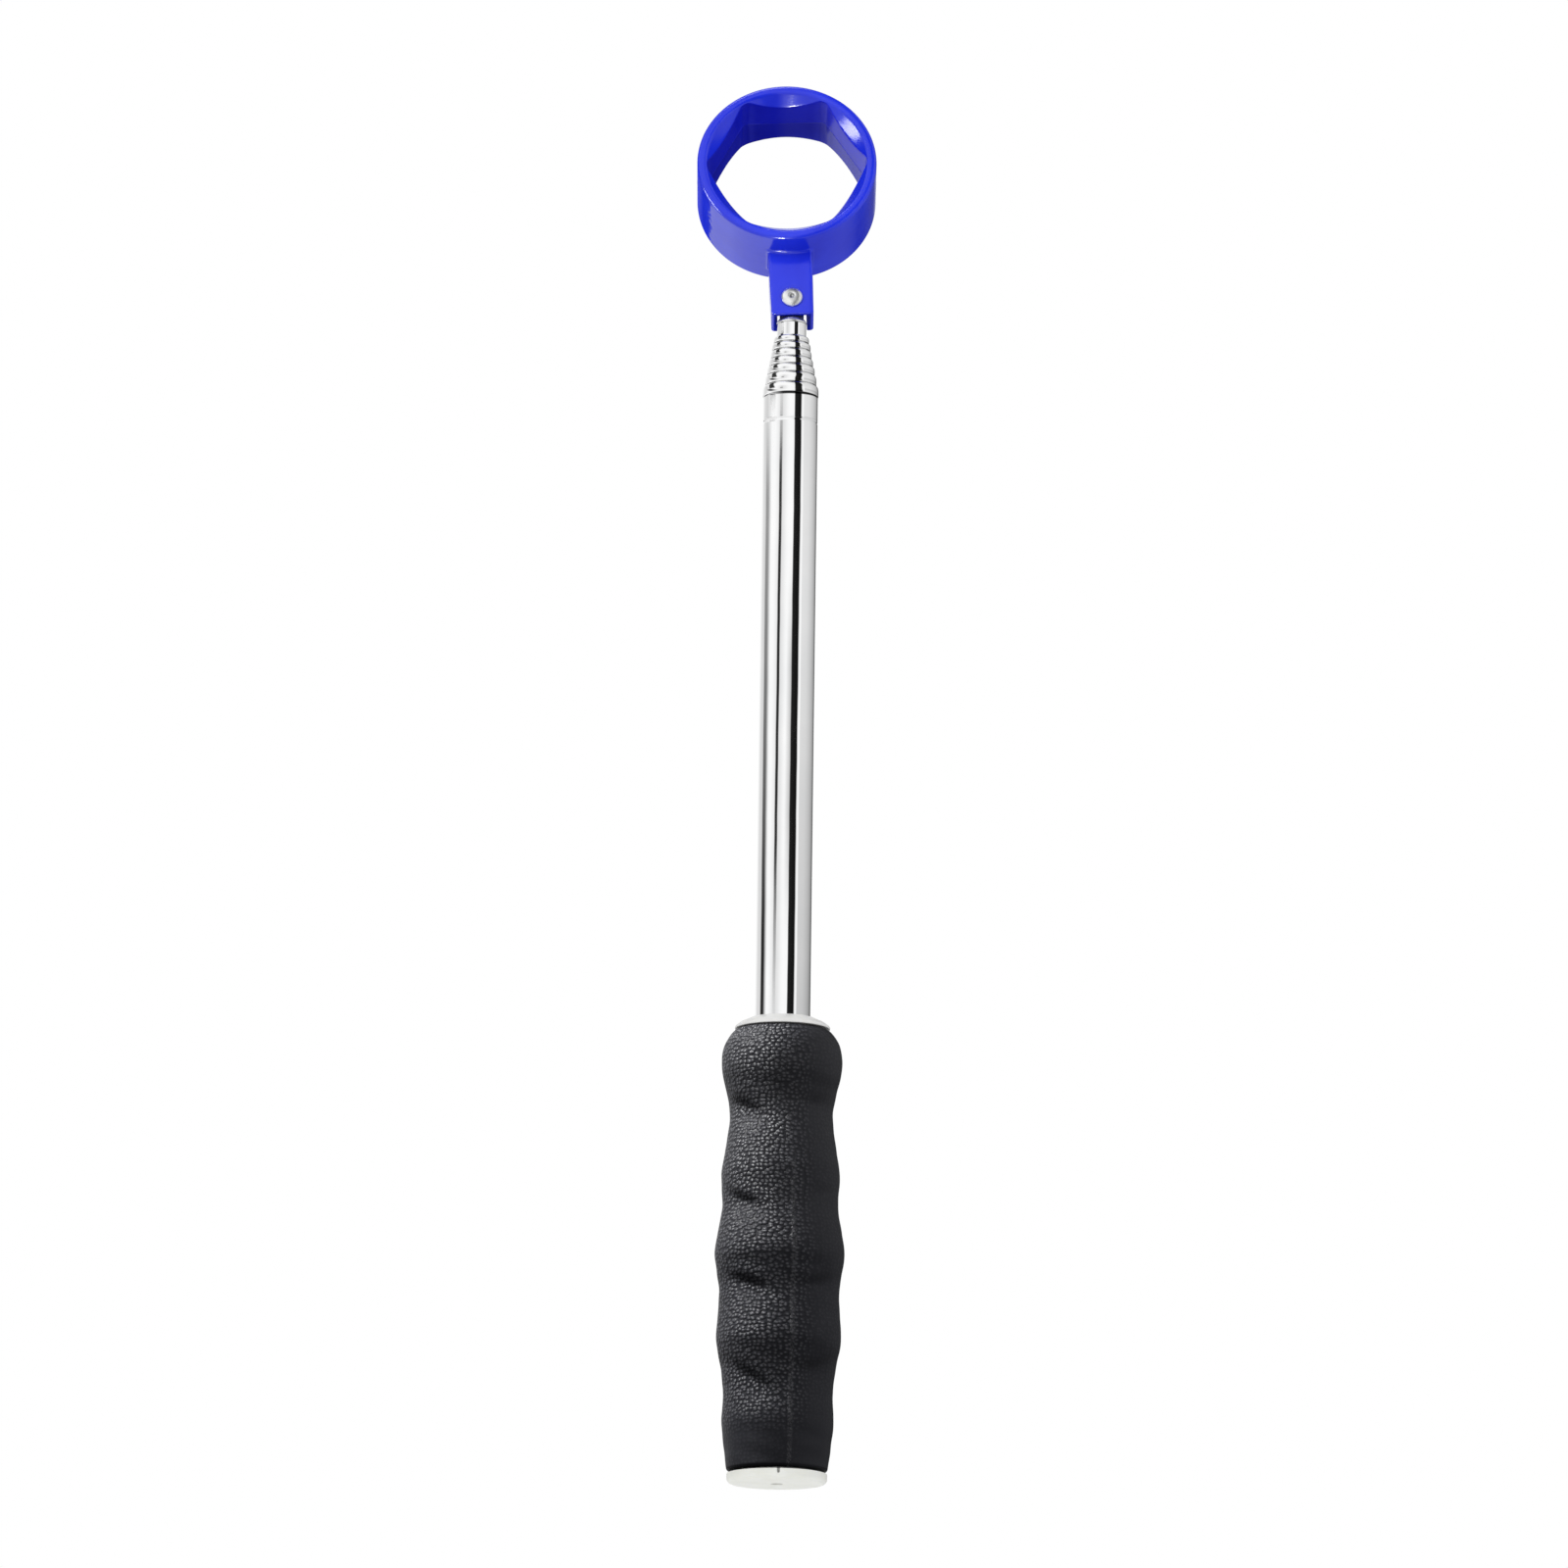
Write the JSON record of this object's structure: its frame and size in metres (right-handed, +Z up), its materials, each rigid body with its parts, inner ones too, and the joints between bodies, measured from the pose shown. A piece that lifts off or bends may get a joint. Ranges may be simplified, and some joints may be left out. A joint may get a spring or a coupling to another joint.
{
  "type": "telescopic ball retriever",
  "caption": "Telescoping chrome pole with a finger-grooved rubber grip and a blue snap ring with a six-sided bore that picks up a golf ball.",
  "frame": {"origin": "centre of the end cap's flat lower face", "axes": "+Z up the pole towards the ring, -Y towards the rivet's head and the ring's open face, +X to the right seen from there"},
  "size_m": [0.0538, 0.0525, 0.4244],
  "materials": {
    "chrome": "polished plating",
    "grip_rubber": "pebbled, satin",
    "blue_plastic": "glossy moulded",
    "white_plastic": "semi-gloss moulded",
    "cap_plastic": "fine moulded satin",
    "liner_plastic": "plain moulded",
    "pad_rubber": "matt",
    "sleeve_brass": "drawn",
    "plated_steel": "bright plated"
  },
  "bodies": {
    "handle": {"outer_tube": "chrome", "grip": "grip_rubber", "handle_core": "liner_plastic", "top_collar": "white_plastic", "end_cap": "cap_plastic", "base_plug": "liner_plastic", "bumper_pad": "pad_rubber"},
    "section_1": {"section_tube_1": "chrome", "friction_sleeve_1": "sleeve_brass"},
    "section_2": {"section_tube_2": "chrome", "friction_sleeve_2": "sleeve_brass"},
    "section_3": {"section_tube_3": "chrome", "friction_sleeve_3": "sleeve_brass"},
    "section_4": {"section_tube_4": "chrome", "friction_sleeve_4": "sleeve_brass"},
    "section_5": {"section_tube_5": "chrome", "friction_sleeve_5": "sleeve_brass"},
    "section_6": {"section_tube_6": "chrome", "friction_sleeve_6": "sleeve_brass"},
    "tip_sleeve": {"friction_sleeve_7": "sleeve_brass"},
    "tip_section": {"section_tube_7": "chrome", "tip_fitting": "plated_steel"},
    "ball_ring": {"ring_head": "blue_plastic", "head_rivet": "plated_steel"}
  },
  "joints": [
    {"name": "slide_1", "type": "slide", "parent": "handle", "child": "section_1", "axis": [0, 0, 1], "range_m": [0, 0.235]},
    {"name": "slide_2", "type": "slide", "parent": "section_1", "child": "section_2", "axis": [0, 0, 1], "range_m": [0, 0.235]},
    {"name": "slide_3", "type": "slide", "parent": "section_2", "child": "section_3", "axis": [0, 0, 1], "range_m": [0, 0.235]},
    {"name": "slide_4", "type": "slide", "parent": "section_3", "child": "section_4", "axis": [0, 0, 1], "range_m": [0, 0.235]},
    {"name": "slide_5", "type": "slide", "parent": "section_4", "child": "section_5", "axis": [0, 0, 1], "range_m": [0, 0.235]},
    {"name": "slide_6", "type": "slide", "parent": "section_5", "child": "section_6", "axis": [0, 0, 1], "range_m": [0, 0.235]},
    {"name": "slide_7", "type": "slide", "parent": "section_6", "child": "tip_sleeve", "axis": [0, 0, 1], "range_m": [0, 0.235]},
    {"name": "tip_swivel", "type": "hinge", "parent": "tip_sleeve", "child": "tip_section", "pos_m": [0, 0, 0.2], "axis": [0, 0, 1], "continuous": true},
    {"name": "head_rock", "type": "hinge", "parent": "tip_section", "child": "ball_ring", "pos_m": [0, 0.00164, 0.35466], "axis": [0, -0.9563, 0.2924], "range_deg": [-7.7, 2.3]}
  ]
}
